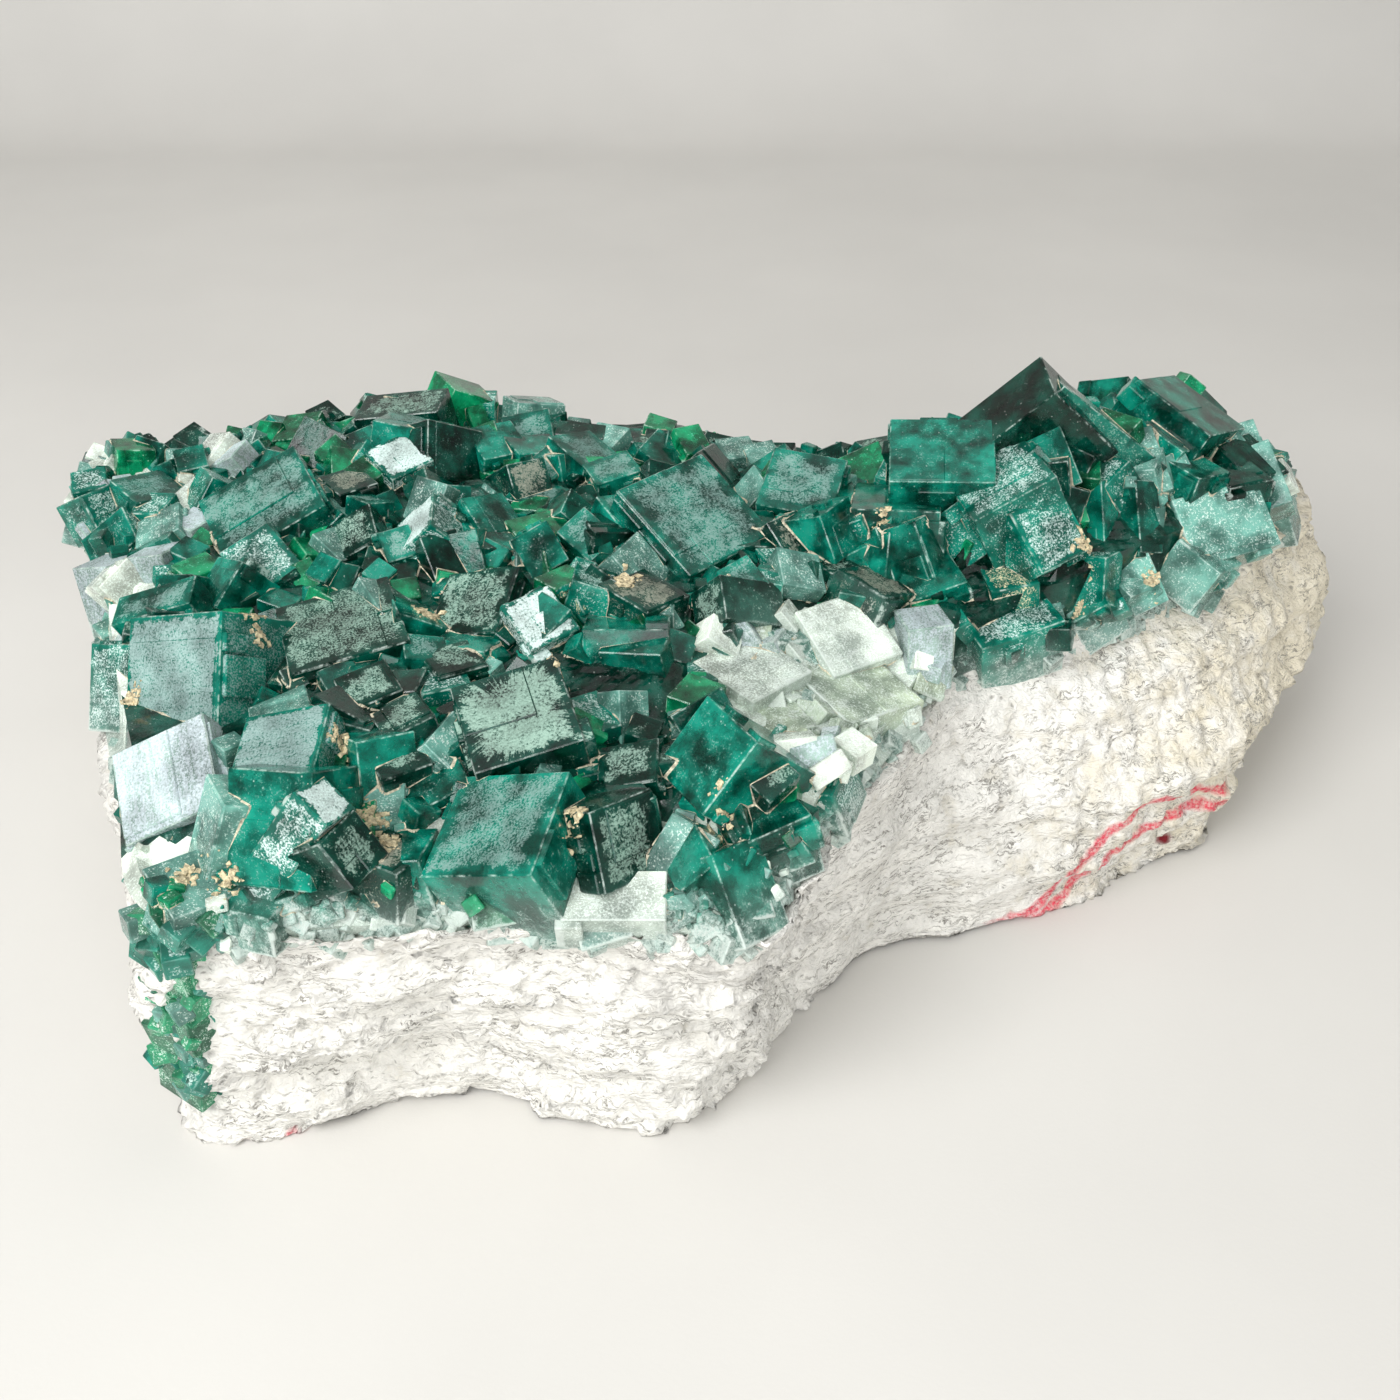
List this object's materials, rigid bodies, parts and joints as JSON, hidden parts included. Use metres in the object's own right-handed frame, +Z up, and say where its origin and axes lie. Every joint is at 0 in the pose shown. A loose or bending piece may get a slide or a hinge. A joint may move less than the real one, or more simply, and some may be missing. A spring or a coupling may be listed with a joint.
{
  "type": "cubic fluorite cluster",
  "caption": "Slab of white rock covered on top with a crust of intergrown dark green fluorite cubes.",
  "frame": {"origin": "middle of the foot on the surface that the slab lies on: the centre of the overall box in plan, at its lowest level", "axes": "+X along the slab towards its higher right lobe, +Y away from the viewer towards the back edge, +Z up through the crust"},
  "size_m": [0.4001, 0.2436, 0.1369],
  "materials": {
    "rock": "broken white rock, layered, dull",
    "fluorite": "dark green clear crystal, its faces partly frosted"
  },
  "bodies": {
    "root": {"matrix": "rock", "fluorite_crust": "fluorite"}
  },
  "joints": []
}
